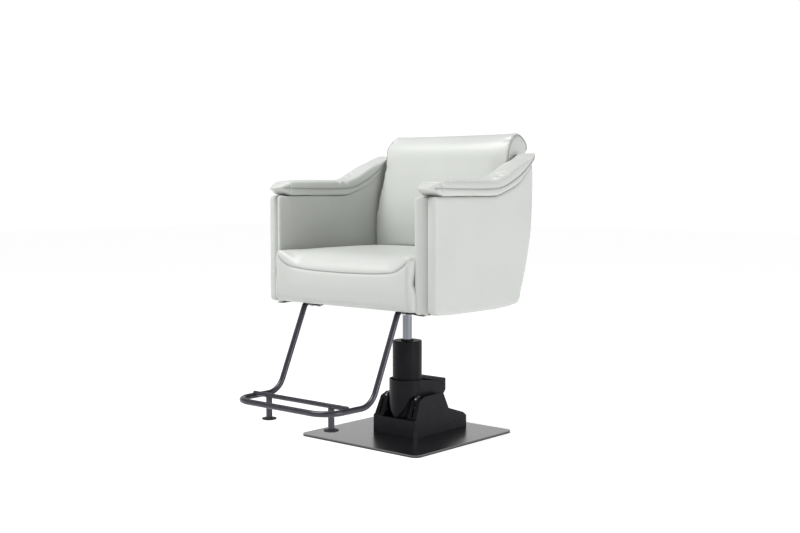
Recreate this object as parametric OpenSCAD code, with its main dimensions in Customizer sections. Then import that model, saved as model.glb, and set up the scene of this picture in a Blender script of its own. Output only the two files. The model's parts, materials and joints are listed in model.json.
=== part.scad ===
// Hydraulic styling chair: square base plate, foot pump, swivelling tub seat and footrest.
// Millimetres. +Z is up, the sitter faces -Y, and the pump column stands on the Z axis.
// The origin is on the floor, under the middle of the base plate.

/* [Base plate and column] */
// Side of the square base plate
plate_w = 450; // [400:5:540]
// Thickness of the base plate
plate_t = 7; // [5:0.5:10]
// Corner radius of the base plate
plate_r = 21; // [10:1:40]
// Height of the column sleeve above the base plate
sleeve_h = 274.5; // [250:0.5:330]
// Outer diameter of the column sleeve
sleeve_d = 87; // [80:0.5:105]
// Diameter of the piston rod
rod_d = 28; // [23:0.5:34]
// How far the seat drops from where it stands
lift_down = 75; // [62:1:76]
// How far the seat rises from where it stands
lift_up = 60; // [50:1:72]

/* [Pump cover and pedal] */
// Half width of the pump cover at the plate
cover_half_w = 85.5; // [80:0.5:103]
// Height of the pump cover's side walls
cover_h = 111; // [105:1:118]
// Wall thickness of the plastic covers
cover_wall = 3; // [2:0.25:3.5]
// Wall thickness of the pedal
pedal_wall = 3; // [2:0.25:3.5]
// Gap between the sleeve and the pedal's collar
collar_gap = 7; // [6.5:0.5:9]
// How far the pedal reaches behind the column axis
pedal_reach = 121; // [105:1:145]
// Width of the tread
tread_w = 98; // [82:1:99]

/* [Seat shell] */
// Overall width across the arms
seat_w = 636; // [530:2:764]
// Thickness of an arm
arm_t = 62; // [52:1:75]
// Height of the arms' front from their lower edge to the armrest
arm_h = 315; // [270:1:378]
// Height of the back from the arms' lower edge to the top of the roll
back_h = 500; // [490:1:560]
// Distance from the column axis to the front of the arms
arm_front = 272; // [262:1:320]
// Height of the seat cushion's top above its board
cushion_h = 135; // [112:1:162]
// Distance from the column axis to the front of the seat cushion
cushion_front = 294; // [276:1:335]
// Thickness of the armrest pads
pad_h = 40; // [33:1:48]

/* [Footrest] */
// Outer diameter of the footrest tube
tube_d = 16; // [13:0.5:19.5]
// Width of the footrest between the tubes' centres
footrest_w = 356; // [300:2:427]
// Distance from the column axis to the footrest's front bar
footrest_front = 522; // [470:2:620]
// Height of the footrest's bar above the floor
footrest_z = 156; // [135:1:185]
// Diameter of the footrest's feet
foot_d = 41; // [34:1:50]

/* [Hidden] */

$fn = 96;
// Fits
fit = 0.05;        // radial clearance of a shaft in its bore
gap = 0.3;         // gap between soft parts
eps = 0.01;        // a cut's overshoot

// Pump, from the plate up
flange_t = 18;
flange_z = plate_t + flange_t;
cyl_wall = 5;
cyl_bore = rod_d + 8;
cyl_d = cyl_bore + 2 * cyl_wall;
head_t = 20;
stop_gap = 5;
piston_z = flange_z + stop_gap + lift_down;
guide_z = piston_z + head_t + lift_up + stop_gap;
sleeve_wall = 3;
sleeve_r = sleeve_d / 2;
sleeve_top = plate_t + sleeve_h;
sleeve_bottom = flange_z + 8;
res_d = sleeve_d - 2 * sleeve_wall - 5;
res_wall = 3;
res_top = sleeve_top - 20;
wiper_h = 6;
wiper_r = rod_d / 2 + 4;
base_bolt_d = 10;

// Seat heights
under_gap = 9;
socket_z = sleeve_top + lift_down + under_gap;
socket_h = 41;
socket_wall = 3;
plate_thk = 4;
board_z = socket_z + socket_h + plate_thk;
board_t = 15;
sheet_t = 2;
shell_z = board_z - 16;
seat_top = board_z + board_t + cushion_h;
arm_top = shell_z + arm_h;
back_top = shell_z + back_h;

// Seat widths and the layers of an arm, from the inside out
half_w = seat_w / 2;
arm_in = half_w - arm_t;
liner_t = 12;
frame_t = 16;
frame_in = arm_in + liner_t;
shell_in = frame_in + frame_t;
pad_in = arm_in - 11;
pad_out = half_w + 4;
back_half = arm_in - 16;

// Pump cover and pedal
cover_front = 64;
cover_taper = 10.5;
cover_lean = 31;
block_z = plate_t + 50;
rim_z = plate_t + cover_h;
tail_y = 189;
collar_in = sleeve_r + collar_gap;
collar_r = collar_in + pedal_wall;
collar_top = rim_z + 46.5;
pivot_y = -18;
pivot_z = rim_z - 6;
pin_d = 8;
boss_r = 9;
ear_gap = 0.8;
ear_t = 6;
ear_in = collar_r + ear_gap;
plunger_y = 75;
plunger_d = 14;
cam_d = 14;
cam_drop = 14;
cam_z = pivot_z - cam_drop;
barrel_r = 13;
barrel_z = flange_z + 36;
spring_z = barrel_z;
retainer_t = 3;
retainer_z = cam_z - cam_d / 2 - 0.3 - 5;
spring_wire = 2.2;
spring_r = 9.5;
spring_turns = 4;

// Footrest
tube_r = tube_d / 2;
foot_half = footrest_w / 2;
hang_z = board_z - sheet_t - tube_r;
bend_top = 20;
bend_low = 60;
bend_front = 58;
crossbar_y = -footrest_front + 77;
crossbar_r = 6.5;
crossbar_z = footrest_z + 7;
leg_x = 119;
leg_r = 8.5;
foot_z = footrest_z - 59;
foot_t = 5;
clamp_w = 22;
clamp_ys = [-205, -130];
clamp_bolt_d = 6;

// A smooth curve through points: n steps to each span
function spline(p, n = 6) = [
  for (i = [0 : len(p) - 2], j = [0 : n - 1])
    let (a = p[max(i - 1, 0)], b = p[i], c = p[i + 1], d = p[min(i + 2, len(p) - 1)], t = j / n)
      0.5 * (2 * b + (c - a) * t + (2 * a - 5 * b + 4 * c - d) * t * t + (3 * b - a - 3 * c + d) * t * t * t),
  p[len(p) - 1]];

// Where the outer face of the back stands, from the lower edge up
function rear_line(shift) = spline([
  [150 + shift, shell_z + 40], [171 + shift, shell_z + 100], [187 + shift, shell_z + 160],
  [203 + shift, shell_z + 220], [212 + shift, shell_z + 280], [217 + shift, arm_top + 30],
  [217 + shift, arm_top + 112]], 4);

// The arm's upper edge, under the armrest pad, from the front to the rear
function arm_edge(rise) = spline([
  [-arm_front, arm_top + rise], [-120, arm_top + rise], [0, arm_top + rise], [54, arm_top + 13 + rise],
  [102, arm_top + 30 + rise], [140, arm_top + 55 + rise], [178, arm_top + 88 + rise],
  [217, arm_top + 112 + rise]], 5);

// Extrudes an outline drawn in Y and Z along X, from x0 to x1
module along_x(x0, x1) {
  translate([x0, 0, 0]) rotate([90, 0, 90]) linear_extrude(x1 - x0) children();
}

// A left-hand piece, and its mirror on the right when side is 1
module on_side(side) {
  if (side > 0) children();
  else mirror([1, 0, 0]) children();
}

module rounded_square(w, r) {
  hull() for (x = [-1, 1], y = [-1, 1])
    translate([x * (w / 2 - r), y * (w / 2 - r)]) circle(r, $fn = 64);
}

module at_bolts() {
  for (a = [45 : 90 : 315]) rotate(a) translate([res_d / 2 - 4, 0, 0]) children();
}

module tube(r_out, r_in, z0, z1) {
  translate([0, 0, z0]) difference() {
    cylinder(r = r_out, h = z1 - z0);
    translate([0, 0, -eps]) cylinder(r = r_in, h = z1 - z0 + 2 * eps);
  }
}

/* ---- base ---- */

module base_plate() {
  color("#2b2b30") difference() {
    linear_extrude(plate_t) rounded_square(plate_w, plate_r);
    at_bolts() translate([0, 0, -eps]) cylinder(d = base_bolt_d + 2 * fit, h = plate_t + 2 * eps);
    at_bolts() translate([0, 0, -eps]) cylinder(d1 = 2 * base_bolt_d, d2 = base_bolt_d, h = base_bolt_d / 2);
  }
}

module base_bolts() {
  color("#8a8a8e") at_bolts() {
    translate([0, 0, 0.5]) cylinder(d1 = 2 * base_bolt_d - 1.4, d2 = base_bolt_d, h = base_bolt_d / 2 - 0.7);
    translate([0, 0, base_bolt_d / 2 - 0.5]) cylinder(d = base_bolt_d, h = plate_t + 10 - base_bolt_d / 2);
  }
}

module pump_housing() {
  color("#3c3c40") difference() {
    union() {
      translate([0, 0, plate_t]) cylinder(r = res_d / 2 + 5, h = flange_t);
      translate([-ear_in - ear_t, pivot_y - 14, plate_t]) cube([2 * (ear_in + ear_t), 28, flange_t]);
      translate([-20, 0, plate_t]) cube([40, plunger_y, flange_t]);
      translate([0, plunger_y, plate_t]) cylinder(r = 20, h = flange_t);
      translate([0, plunger_y, plate_t]) cylinder(r = barrel_r, h = barrel_z - plate_t);
      translate([-24, plunger_y + 10, plate_t]) cube([48, 30, flange_t]);
    }
    translate([0, plunger_y, plate_t + 6]) cylinder(d = plunger_d + 2 * fit, h = barrel_z);
    at_bolts() translate([0, 0, plate_t - eps]) cylinder(d = base_bolt_d + 2 * fit, h = 11);
    translate([0, plunger_y + 24, plate_t + flange_t / 2]) rotate([-90, 0, 0]) cylinder(d = 10.1, h = 20);
  }
}

module cylinder_tube() {
  color("#77777b") tube(cyl_d / 2, cyl_bore / 2, flange_z, guide_z);
}

module reservoir_tube() {
  color("#4a4a4e") tube(res_d / 2, res_d / 2 - res_wall, flange_z, res_top);
}

module rod_guide() {
  color("#9a9a9e") difference() {
    union() {
      translate([0, 0, guide_z]) cylinder(d = cyl_d, h = res_top - guide_z);
      translate([0, 0, res_top - 14]) cylinder(r = res_d / 2 - res_wall - fit, h = 14);
      translate([0, 0, res_top]) cylinder(r = sleeve_r - sleeve_wall - 0.5, h = 6);
    }
    translate([0, 0, guide_z - eps]) cylinder(d = rod_d + 2 * fit, h = 100);
    translate([0, 0, res_top - 4]) cylinder(r = rod_d / 2 + 4, h = 100);
  }
}

module rod_seal() {
  color("#1c1c1c") tube(rod_d / 2 + 4 - fit, rod_d / 2 + 2 * fit, res_top - 4 + fit, res_top + 5);
}

module wiper_ring() {
  color("#161618") {
    tube(wiper_r - fit, rod_d / 2 + 2 * fit, sleeve_top - sleeve_wall - 2, sleeve_top);
    tube(wiper_r + 1.5, rod_d / 2 + 2 * fit, sleeve_top, sleeve_top + wiper_h / 2);
  }
}

module column_sleeve() {
  chamfer = 1.6;
  color("#1b1b20") translate([0, 0, sleeve_bottom]) rotate_extrude() polygon([
    [sleeve_r - sleeve_wall, 0], [sleeve_r, 0], [sleeve_r, sleeve_top - sleeve_bottom - chamfer],
    [sleeve_r - chamfer, sleeve_top - sleeve_bottom], [wiper_r, sleeve_top - sleeve_bottom],
    [wiper_r, sleeve_top - sleeve_bottom - sleeve_wall],
    [sleeve_r - sleeve_wall, sleeve_top - sleeve_bottom - sleeve_wall]]);
}

// The pump cover's outer form, or its hollow when inset is a wall
module cover_form(inset) {
  lid = inset > 0 ? inset : 0;
  bottom = plate_t - (inset > 0 ? eps : 0);
  intersection() {
    along_x(-200, 200) polygon([
      [-cover_front + inset, bottom], [-cover_front + 2 + inset, block_z - lid],
      [-cover_front + 10 + inset, block_z + 4 - lid], [-cover_front + cover_lean + inset, rim_z - 6],
      [-10, rim_z + 4], [68, rim_z + 5], [80 - inset, rim_z], [98 - inset, block_z + 17 - lid],
      [166, block_z - 5 - lid], [181 - inset, block_z - 16 - lid], [tail_y - inset, plate_t + 8],
      [tail_y - inset, bottom]]);
    rotate([90, 0, 0]) linear_extrude(500, center = true) polygon([
      [-cover_half_w + inset, bottom], [cover_half_w - inset, bottom],
      [cover_half_w - cover_taper + inset * -1, rim_z + 6],
      [-cover_half_w + cover_taper + inset, rim_z + 6]]);
    linear_extrude(400) polygon([
      [-cover_half_w + 8, -cover_front - 1 + inset], [cover_half_w - 8, -cover_front - 1 + inset],
      [cover_half_w - inset, -cover_front + 14], [cover_half_w - inset, tail_y - 12],
      [cover_half_w - 12, tail_y - inset + 1], [-cover_half_w + 12, tail_y - inset + 1],
      [-cover_half_w + inset, tail_y - 12], [-cover_half_w + inset, -cover_front + 14]]);
  }
}

module lower_cover() {
  slot_half = 45.5;
  color("#3d3b43") difference() {
    cover_form(0);
    cover_form(cover_wall);
    // the open top, between the side walls
    translate([-ear_in - ear_t - 1, -cover_front + cover_lean + 2, block_z + 2]) cube([2 * (ear_in + ear_t + 1), 120, 200]);
    translate([-ear_in - ear_t - 1, 20, rim_z - 30]) cube([2 * (ear_in + ear_t + 1), 120, 200]);
    // the notch that the pedal's tongue hangs in
    translate([-slot_half, -cover_front - 10, block_z]) cube([2 * slot_half, 60, 200]);
    // slits beside the notch
    for (x = [-1, 1]) translate([x * 62 - 2.5, -cover_front - 10, block_z + 6]) cube([5, 40, rim_z - block_z - 16]);
    for (x = [-1, 1], y = [124, 146]) translate([x * 60, y, plate_t + 23])
      rotate([0, x * 90, 0]) cylinder(d = 5 + 2 * fit, h = 60);
  }
}

module cover_screws() {
  // two screws to each side wall, just under its face
  wall_x = cover_half_w - cover_taper * 23 / cover_h;
  color("#101012") for (x = [-1, 1], y = [124, 146]) translate([x * (wall_x - 9), y, plate_t + 23])
    rotate([0, x * 90, 0]) cylinder(d = 5, h = 8);
}

module pivot_bracket() {
  color("#5c5c60") for (x = [-1, 1]) difference() {
    union() {
      translate([x > 0 ? ear_in : -ear_in - ear_t, pivot_y - 12, flange_z]) cube([ear_t, 24, pivot_z - flange_z]);
      translate([x > 0 ? ear_in : -ear_in - ear_t, pivot_y, pivot_z]) rotate([0, 90, 0]) cylinder(r = 12, h = ear_t);
    }
    translate([-200, pivot_y, pivot_z]) rotate([0, 90, 0]) cylinder(d = pin_d, h = 400);
  }
}

module pivot_pins() {
  color("#9c9ca0") for (x = [-1, 1])
    translate([x > 0 ? collar_in - 4 : -ear_in - ear_t, pivot_y, pivot_z])
      rotate([0, 90, 0]) cylinder(d = pin_d, h = ear_in + ear_t - collar_in + 4);
}

module release_valve() {
  color("#b08d3c") translate([0, plunger_y + 24.5, plate_t + flange_t / 2]) rotate([-90, 0, 0]) {
    cylinder(d = 10, h = 15.5);
    translate([0, 0, 15.5]) cylinder(d = 17, h = 7, $fn = 6);
  }
}

/* ---- pump plunger and its spring ---- */

function coil_point(a, z0, z1, r, turns) = [r * cos(a), r * sin(a), z0 + (z1 - z0) * a / (360 * turns)];

module coil(z0, z1, r, wire, turns) {
  sides = 8;
  step = 18;
  rings = 360 * turns / step;
  points = [for (i = [0 : rings], s = [0 : sides - 1])
    let (a = i * step, b = 360 * s / sides, c = coil_point(a, z0, z1, r, turns))
      [c[0] + wire / 2 * cos(b) * cos(a), c[1] + wire / 2 * cos(b) * sin(a), c[2] + wire / 2 * sin(b)]];
  sides_faces = [for (i = [0 : rings - 1], s = [0 : sides - 1])
    let (n = (s + 1) % sides) [i * sides + s, (i + 1) * sides + s, (i + 1) * sides + n, i * sides + n]];
  polyhedron(points, concat(sides_faces, [[for (s = [0 : sides - 1]) s]],
    [[for (s = [sides - 1 : -1 : 0]) rings * sides + s]]), convexity = 8);
}

module plunger_spring() {
  color("#a5a5aa") translate([0, plunger_y, 0])
    coil(spring_z + spring_wire / 2 + 0.2, retainer_z - spring_wire / 2 - 0.2, spring_r, spring_wire, spring_turns);
}

module pump_plunger() {
  color("#c2c2c6") translate([0, plunger_y, 0]) {
    translate([0, 0, plate_t + 6 + 16]) cylinder(d = plunger_d, h = retainer_z + 5 - plate_t - 22);
    translate([0, 0, retainer_z]) cylinder(r = spring_r + 2.5, h = retainer_t);
  }
}

/* ---- pedal ---- */

// The tongue's outline from the front: it narrows downwards to a blunt tip
module tongue_outline() {
  side = spline([[7, block_z + 4], [25, block_z + 25], [36, block_z + 48], [42, rim_z], [58, rim_z + 8]], 5);
  polygon(concat(side, [[58, collar_top + 60], [-58, collar_top + 60]],
    [for (i = [len(side) - 1 : -1 : 0]) [-side[i][0], side[i][1]]], [[0, block_z + 2]]));
}

module pump_pedal() {
  wall_end = pedal_reach - 16;
  rise = 3;
  color("#37353d") difference() {
    union() {
      // collar and tongue round the front of the sleeve
      intersection() {
        tube(collar_r, collar_in, block_z, collar_top + rise);
        translate([-100, -100, 0]) cube([200, 100, 400]);
        rotate([90, 0, 0]) linear_extrude(300, center = true) tongue_outline();
      }
      // side walls
      for (x = [-1, 1]) along_x(x > 0 ? collar_in : -collar_r, x > 0 ? collar_r : -collar_in) polygon([
        [0, rim_z + 4], [0, collar_top + rise], [wall_end - 3, collar_top - 12], [wall_end, collar_top - 15],
        [wall_end, rim_z - 2], [20, rim_z - 10], [6, rim_z - 6]]);
      // bosses that the pivot pins run in
      for (x = [-1, 1]) {
        translate([x > 0 ? collar_in - 4 : -collar_r, pivot_y, pivot_z]) rotate([0, 90, 0])
          cylinder(r = boss_r, h = pedal_wall + 4);
        translate([x > 0 ? collar_in - 4 : -collar_r, pivot_y - 4, pivot_z]) cube([pedal_wall + 4, 40, 12]);
      }
    }
    translate([-200, pivot_y, pivot_z]) rotate([0, 90, 0]) cylinder(d = pin_d + 2 * fit, h = 400);
  }
}

module pedal_tread() {
  inner = collar_in - gap;
  top = collar_top - 3;
  width = min(tread_w / 2, inner);
  color("#2e2c34") difference() {
    along_x(-width, width) polygon([
      [plunger_y - 14, top - 26], [plunger_y - 14, top - 2], [plunger_y - 12, top], [pedal_reach - 2, top - 2],
      [pedal_reach, top - 4], [pedal_reach, top - 38], [pedal_reach - 12, top - 52],
      [plunger_y + 20, top - 52], [plunger_y + 20, top - 26]]);
    for (i = [0 : 4]) translate([-width - 1, plunger_y - 4 + i * 9, top - 1.6]) cube([2 * width + 2, 4, 10]);
    for (x = [-1, 1]) translate([x * (width - 18), plunger_y + 30, top - 20]) rotate([0, x * 90, 0])
      cylinder(d = 5 + 2 * fit, h = 60);
  }
}

module pedal_cam() {
  // cross bar under the tread that pushes the plunger down
  color("#8c8c90") {
    translate([-collar_in + fit, plunger_y, cam_z]) rotate([0, 90, 0]) cylinder(d = cam_d, h = 2 * (collar_in - fit));
  }
}

module tread_screws() {
  color("#0e0e10") for (x = [-1, 1]) translate([x * (min(tread_w / 2, collar_in - gap) - 17), plunger_y + 30, collar_top - 23])
    rotate([0, x * 90, 0]) cylinder(d = 5, h = 15);
}

/* ---- piston ---- */

module piston_rod() {
  color("#d6d8dc") translate([0, 0, piston_z + head_t]) {
    cylinder(d = rod_d, h = socket_z + socket_h - 6 - piston_z - head_t);
  }
}

module piston_head() {
  color("#8f8f93") translate([0, 0, piston_z]) difference() {
    cylinder(r = cyl_bore / 2 - fit, h = head_t);
    translate([0, 0, head_t / 2 - 3]) tube(cyl_bore / 2 + 1, cyl_bore / 2 - 3, 0, 6);
  }
}

module piston_ring() {
  color("#202022") tube(cyl_bore / 2 - fit, cyl_bore / 2 - 3, piston_z + head_t / 2 - 3, piston_z + head_t / 2 + 3);
}

/* ---- seat ---- */

module swivel_socket() {
  color("#1a1a1c") difference() {
    union() {
      tube(rod_d / 2 + socket_wall, rod_d / 2 + fit, socket_z, socket_z + socket_h);
      tube(rod_d / 2 + 16, rod_d / 2 + fit, socket_z + socket_h - 10, socket_z + socket_h);
    }
  }
}

module thrust_washer() {
  color("#b79a56") translate([0, 0, socket_z + socket_h - 6 + fit]) cylinder(r = rod_d / 2 - 1, h = 6 - 2 * fit);
}

module seat_plate() {
  color("#222225") difference() {
    translate([-95, -110, board_z - plate_thk]) cube([190, 220, plate_thk]);
    for (x = [-1, 1], y = [-1, 1]) translate([x * 78, y * 92, board_z - plate_thk - eps])
      cylinder(d = 8 + 2 * fit, h = plate_thk + 1);
  }
}

module plate_bolts() {
  color("#8a8a8e") for (x = [-1, 1], y = [-1, 1]) translate([x * 78, y * 92, board_z - plate_thk - 5]) {
    cylinder(d = 13, h = 5, $fn = 6);
    cylinder(d = 8, h = 5 + plate_thk + board_t - 3);
  }
}

module at_clamp_bolts() {
  for (x = [-1, 1], s = [-1, 1], y = clamp_ys) translate([x * foot_half + s * (tube_r + 7), y, 0]) children();
}

module seat_board() {
  color("#c9a56b") difference() {
    translate([-frame_in, -arm_front + 26, board_z]) cube([2 * frame_in, arm_front + 90, board_t]);
    for (x = [-1, 1], y = [-1, 1]) translate([x * 78, y * 92, board_z - 1]) cylinder(d = 8 + 2 * fit, h = board_t);
    at_clamp_bolts() translate([0, 0, board_z - 1]) cylinder(d = clamp_bolt_d + 2 * fit, h = board_t);
    for (x = [-1, 1], y = [-190, -40, 90]) translate([x * (frame_in - 40), y, board_z + board_t / 2])
      rotate([0, x * 90, 0]) cylinder(d = 7 + 2 * fit, h = 50);
  }
}

module dust_cover() {
  color("#17171a") difference() {
    translate([-arm_in + 2, -arm_front + 26, board_z - sheet_t]) cube([2 * arm_in - 4, arm_front + 84, sheet_t]);
    translate([-95 - 1, -110 - 1, board_z - 10]) cube([192, 222, 20]);
    at_clamp_bolts() translate([0, 0, board_z - 10]) cylinder(d = clamp_bolt_d + 1, h = 20);
  }
}

module seat_cushion() {
  z0 = board_z + board_t;
  color("#e6e9e6") along_x(-arm_in + gap, arm_in - gap) polygon(concat(
    [[-arm_front + 25, z0], [-arm_front + 25, board_z - 2], [-cushion_front + 22, board_z - 3]],
    spline([[-cushion_front + 6, board_z + 10], [-cushion_front, board_z + 45], [-cushion_front, board_z + 85],
      [-cushion_front + 18, seat_top - 30], [-cushion_front + 60, seat_top - 7], [-120, seat_top]], 4),
    [[150, seat_top], [160, seat_top - 8], [134, seat_top - 90], [112, z0]]));
}

// The back's front face, from the seat cushion up over the roll
function back_front() = spline([
  [141, seat_top + 1], [141, seat_top + 50], [146, seat_top + 117], [156, arm_top + 16],
  [171, arm_top + 88], [177, back_top - 52], [190, back_top - 20], [225, back_top],
  [256, back_top - 11], [272, back_top - 35], [270, back_top - 54], [258, back_top - 63]], 4);

module back_cushion() {
  rear = rear_line(-16.5);
  color("#e3e5e2") intersection() {
    along_x(-arm_in + gap, arm_in - gap) polygon(concat(back_front(),
      [[201, back_top - 63]], [for (i = [len(rear) - 1 : -1 : 0]) if (rear[i][1] > seat_top) rear[i]],
      [[170, seat_top + 1]]));
    rotate([90, 0, 0]) linear_extrude(1000, center = true) polygon([
      [-arm_in + gap, 0], [arm_in - gap, 0], [arm_in - gap, seat_top + 60], [back_half, arm_top + 85],
      [back_half, back_top - 25], [back_half - 8, back_top + 10], [-back_half + 8, back_top + 10],
      [-back_half, back_top - 25], [-back_half, arm_top + 85], [-arm_in + gap, seat_top + 60]]);
  }
}

// A sheet that follows the back's outer face between two depths
module back_layer(x, y0, y1, z0, z1) {
  a = rear_line(y0);
  b = rear_line(y1);
  intersection() {
    along_x(-x, x) polygon(concat([[60 + y0 + 66, shell_z + 1]], a, [for (i = [len(b) - 1 : -1 : 0]) b[i]],
      [[60 + y1 + 66, shell_z + 1]]));
    translate([-500, -500, z0]) cube([1000, 1000, z1 - z0]);
  }
}

module back_frame() {
  color("#c39c62") back_layer(frame_in - 0.2, -16, -6, board_z - 1, arm_top + 98);
}

module back_shell() {
  color("#dfe1de") back_layer(shell_in - 0.2, -5.8, 8, shell_z, arm_top + 106);
}

// Side outline of an arm, shifted back from the front by front and forward from the rear by rear
module arm_outline(front, rear, low) {
  top = arm_edge(0);
  back = rear_line(rear);
  corner = lookup(217 + rear, top);
  polygon(concat(
    [[-arm_front + front + 18, low], [-arm_front + front + 5, low + 5], [-arm_front + front, low + 18]],
    [[-arm_front + front, arm_top]],
    [for (p = top) if (p[0] > -arm_front + front + 1 && p[0] < 216 + rear) p],
    [[217 + rear, corner]],
    [for (i = [len(back) - 1 : -1 : 0]) if (back[i][1] < corner - 1) back[i]],
    [[133 + rear, low + 15], [110 + rear, low + 5], [80 + rear, low]]));
}

module arm_shell(side) {
  color("#d8dad7") on_side(side) intersection() {
    along_x(shell_in, half_w) arm_outline(22, 0, shell_z);
    linear_extrude(2000) polygon([[shell_in, -arm_front + 26], [shell_in + 14, -arm_front + 24],
      [half_w - 7, -arm_front + 24], [half_w, -arm_front + 33], [half_w, 180], [half_w - 8, 200],
      [shell_in + 6, 216], [shell_in, 222]]);
  }
}

module arm_liner(side) {
  color("#d2d5d1") on_side(side) {
    along_x(arm_in, frame_in) arm_outline(26, -17, board_z + board_t + 3);
    intersection() {
      along_x(arm_in, shell_in) arm_outline(0, -17, shell_z);
      linear_extrude(2000) polygon([[arm_in, -arm_front + 3], [arm_in + 3, -arm_front],
        [arm_in + 8, -arm_front + 1], [shell_in, -arm_front + 22], [shell_in, -arm_front + 26],
        [arm_in, -arm_front + 26]]);
    }
  }
}

module arm_frame(side) {
  color("#c39c62") on_side(side) difference() {
    along_x(frame_in, shell_in) arm_outline(26, -6, shell_z + 2);
    for (y = [-190, -40, 90]) translate([frame_in - 1, y, board_z + board_t / 2]) rotate([0, 90, 0]) {
      cylinder(d = 7 + 2 * fit, h = 60);
      translate([0, 0, frame_t - 4]) cylinder(d = 15, h = 60);
    }
  }
}

module armrest_pad(side) {
  low = arm_edge(gap);
  high = spline([[-arm_front - 14, arm_top + 17], [-arm_front + 12, arm_top + pad_h - 6],
    [-arm_front + 60, arm_top + pad_h], [-60, arm_top + pad_h], [0, arm_top + pad_h + 1], [45, arm_top + pad_h + 12],
    [88, arm_top + pad_h + 32], [130, arm_top + pad_h + 50], [180, arm_top + pad_h + 66],
    [222, arm_top + pad_h + 82]], 4);
  color("#dcdfdb") on_side(side) intersection() {
    along_x(pad_in, pad_out) polygon(concat(high, [for (i = [len(low) - 1 : -1 : 0]) low[i]]));
    linear_extrude(2000) polygon([[pad_in, -arm_front + 14], [pad_in + 12, -arm_front - 6],
      [pad_in + 32, -arm_front - 14], [pad_in + 44, -arm_front - 14], [pad_out - 12, -arm_front - 3],
      [pad_out, -arm_front + 20], [pad_out, 190], [pad_out - 20, 225], [back_half + 3, 225],
      [back_half + 3, 170], [pad_in, 130]]);
  }
}

module frame_bolts() {
  color("#8a8a8e") for (x = [-1, 1], y = [-190, -40, 90])
    translate([x * (shell_in - 4), y, board_z + board_t / 2]) rotate([0, x * 90, 0]) {
      translate([0, 0, -49]) cylinder(d = 7, h = 49);
      cylinder(d = 14, h = 3.5);
    }
}

/* ---- footrest ---- */

// A round bar of radius r from p to q, along X or Y
module bar(p, q, r) {
  translate(p) rotate(p[0] == q[0] ? [-90, 0, 0] : [0, 90, 0]) cylinder(r = r, h = norm(q - p));
}

// The bent tube: its half on the right, from under the seat to the front bar, as rings.
// Each ring is [middle, direction, sideways], and an arc adds a ring every few degrees.
fall_a = 66;
top_end = -100;
top_y = -232;
fall_c = [top_y, hang_z - bend_top];
fall_e = fall_c + bend_top * [-sin(fall_a), cos(fall_a)];
rise_z = footrest_z + bend_low;
rise_e = rise_z - bend_low * cos(fall_a);
rise_y = fall_e[0] - (fall_e[1] - rise_e) / tan(fall_a) - bend_low * sin(fall_a);
front_c = [foot_half - bend_front, -footrest_front + bend_front];

function half_rings() = concat(
  [[[foot_half, top_end, hang_z], [0, -1, 0], [1, 0, 0]]],
  [for (i = [0 : 5]) let (a = fall_a * i / 5)
    [[foot_half, fall_c[0] - bend_top * sin(a), fall_c[1] + bend_top * cos(a)], [0, -cos(a), -sin(a)], [1, 0, 0]]],
  [for (i = [8 : -1 : 0]) let (a = fall_a * i / 8)
    [[foot_half, rise_y + bend_low * sin(a), rise_z - bend_low * cos(a)], [0, -cos(a), -sin(a)], [1, 0, 0]]],
  [for (i = [0 : 9]) let (a = 10 * i)
    [[front_c[0] + bend_front * cos(a), front_c[1] - bend_front * sin(a), footrest_z],
      [-sin(a), -cos(a), 0], [cos(a), -sin(a), 0]]]);

module footrest_tube() {
  sides = 24;
  right = half_rings();
  left = [for (i = [len(right) - 1 : -1 : 0]) let (p = right[i])
    [[-p[0][0], p[0][1], p[0][2]], [p[1][0], -p[1][1], -p[1][2]], [-p[2][0], p[2][1], p[2][2]]]];
  rings = concat(right, left);
  last = len(rings) - 1;
  points = [for (p = rings, s = [0 : sides - 1]) let (a = 360 * s / sides, up = cross(p[1], p[2]))
    p[0] + tube_r * (cos(a) * p[2] + sin(a) * up)];
  walls = [for (i = [0 : last - 1], s = [0 : sides - 1]) let (n = (s + 1) % sides)
    [i * sides + s, (i + 1) * sides + s, (i + 1) * sides + n, i * sides + n]];
  color("#45434b") polyhedron(points, concat(walls, [[for (s = [0 : sides - 1]) s]],
    [[for (s = [sides - 1 : -1 : 0]) last * sides + s]]), convexity = 8);
}

module footrest_crossbar() {
  // lies in a notch on top of each side tube
  color("#45434b") difference() {
    bar([-foot_half, crossbar_y, crossbar_z], [foot_half, crossbar_y, crossbar_z], crossbar_r);
    for (x = [-1, 1])
      bar([x * foot_half, crossbar_y - 40, footrest_z], [x * foot_half, crossbar_y + 40, footrest_z], tube_r);
  }
}

module footrest_legs() {
  color("#333138") for (x = [-1, 1]) difference() {
    translate([x * leg_x, crossbar_y, foot_z + foot_t]) cylinder(r = leg_r, h = crossbar_z - foot_z - foot_t);
    bar([x * leg_x - 20, crossbar_y, crossbar_z], [x * leg_x + 20, crossbar_y, crossbar_z], crossbar_r);
  }
}

module footrest_feet() {
  color("#141416") for (x = [-1, 1]) translate([x * leg_x, crossbar_y, foot_z]) {
    cylinder(d1 = foot_d - 2, d2 = foot_d, h = foot_t - 1);
    translate([0, 0, foot_t - 1]) cylinder(d1 = foot_d, d2 = 2 * leg_r + 6, h = 1);
  }
}

module footrest_clamps() {
  color("#2c2c30") for (x = [-1, 1], y = clamp_ys) difference() {
    translate([x * foot_half - tube_r - 14, y - clamp_w / 2, hang_z - tube_r - 3])
      cube([2 * tube_r + 28, clamp_w, 2 * tube_r + 3]);
    translate([x * foot_half, y - 50, hang_z]) rotate([-90, 0, 0]) cylinder(r = tube_r, h = 100);
    translate([x * foot_half - tube_r, y - 50, hang_z]) cube([2 * tube_r, 100, 100]);
    for (s = [-1, 1]) translate([x * foot_half + s * (tube_r + 7), y, 0]) cylinder(d = clamp_bolt_d + 2 * fit, h = 1000);
  }
}

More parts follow.
